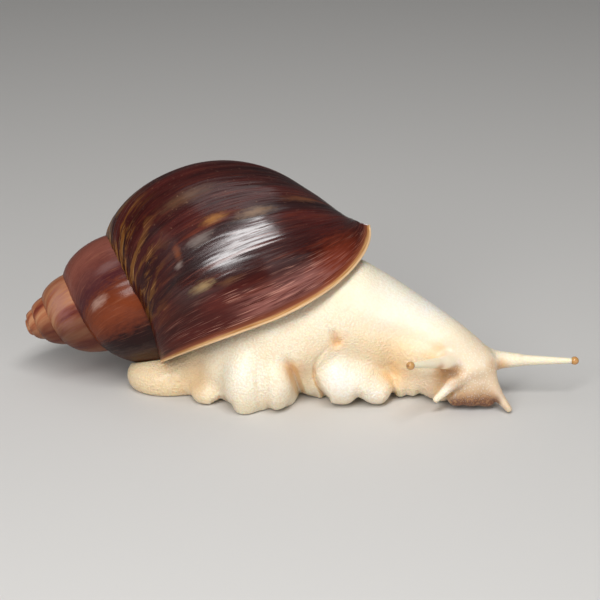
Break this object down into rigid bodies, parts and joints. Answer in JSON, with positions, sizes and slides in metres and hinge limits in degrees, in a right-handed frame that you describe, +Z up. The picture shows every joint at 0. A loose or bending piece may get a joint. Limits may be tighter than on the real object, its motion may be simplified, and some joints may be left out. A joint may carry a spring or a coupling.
{
  "type": "giant african land snail",
  "caption": "Still, life-size giant land snail with a dark banded conical shell and pale flesh, creeping with its head turned and both pairs of tentacles out.",
  "frame": {"origin": "on the flat sole, at the floor, below the middle of the foot", "axes": "+X ahead of the snail along its foot, +Y to its left, +Z up; the shell's spire points back along -X and the head turns towards -Y"},
  "size_m": [0.1127, 0.05, 0.0458],
  "materials": {
    "shell": "glossy dark wine-brown shell with fine growth lines, ochre and violet streaks and a thin tan lip",
    "skin": "moist ivory skin, finely pebbled, warmer in its folds",
    "mantle": "moist ochre flesh just inside the shell's mouth",
    "eye": "wet amber-brown ball"
  },
  "bodies": {
    "root": {"shell": "shell", "mantle_collar": "mantle", "trunk": "skin", "neck": "skin", "head": "skin", "foot_front": "skin", "foot_middle": "skin", "foot_rear": "skin", "tail": "skin", "upper_tentacle_right": "skin", "upper_tentacle_left": "skin", "lower_tentacle_right": "skin", "lower_tentacle_left": "skin", "eye_right": "eye", "eye_left": "eye"}
  },
  "joints": []
}
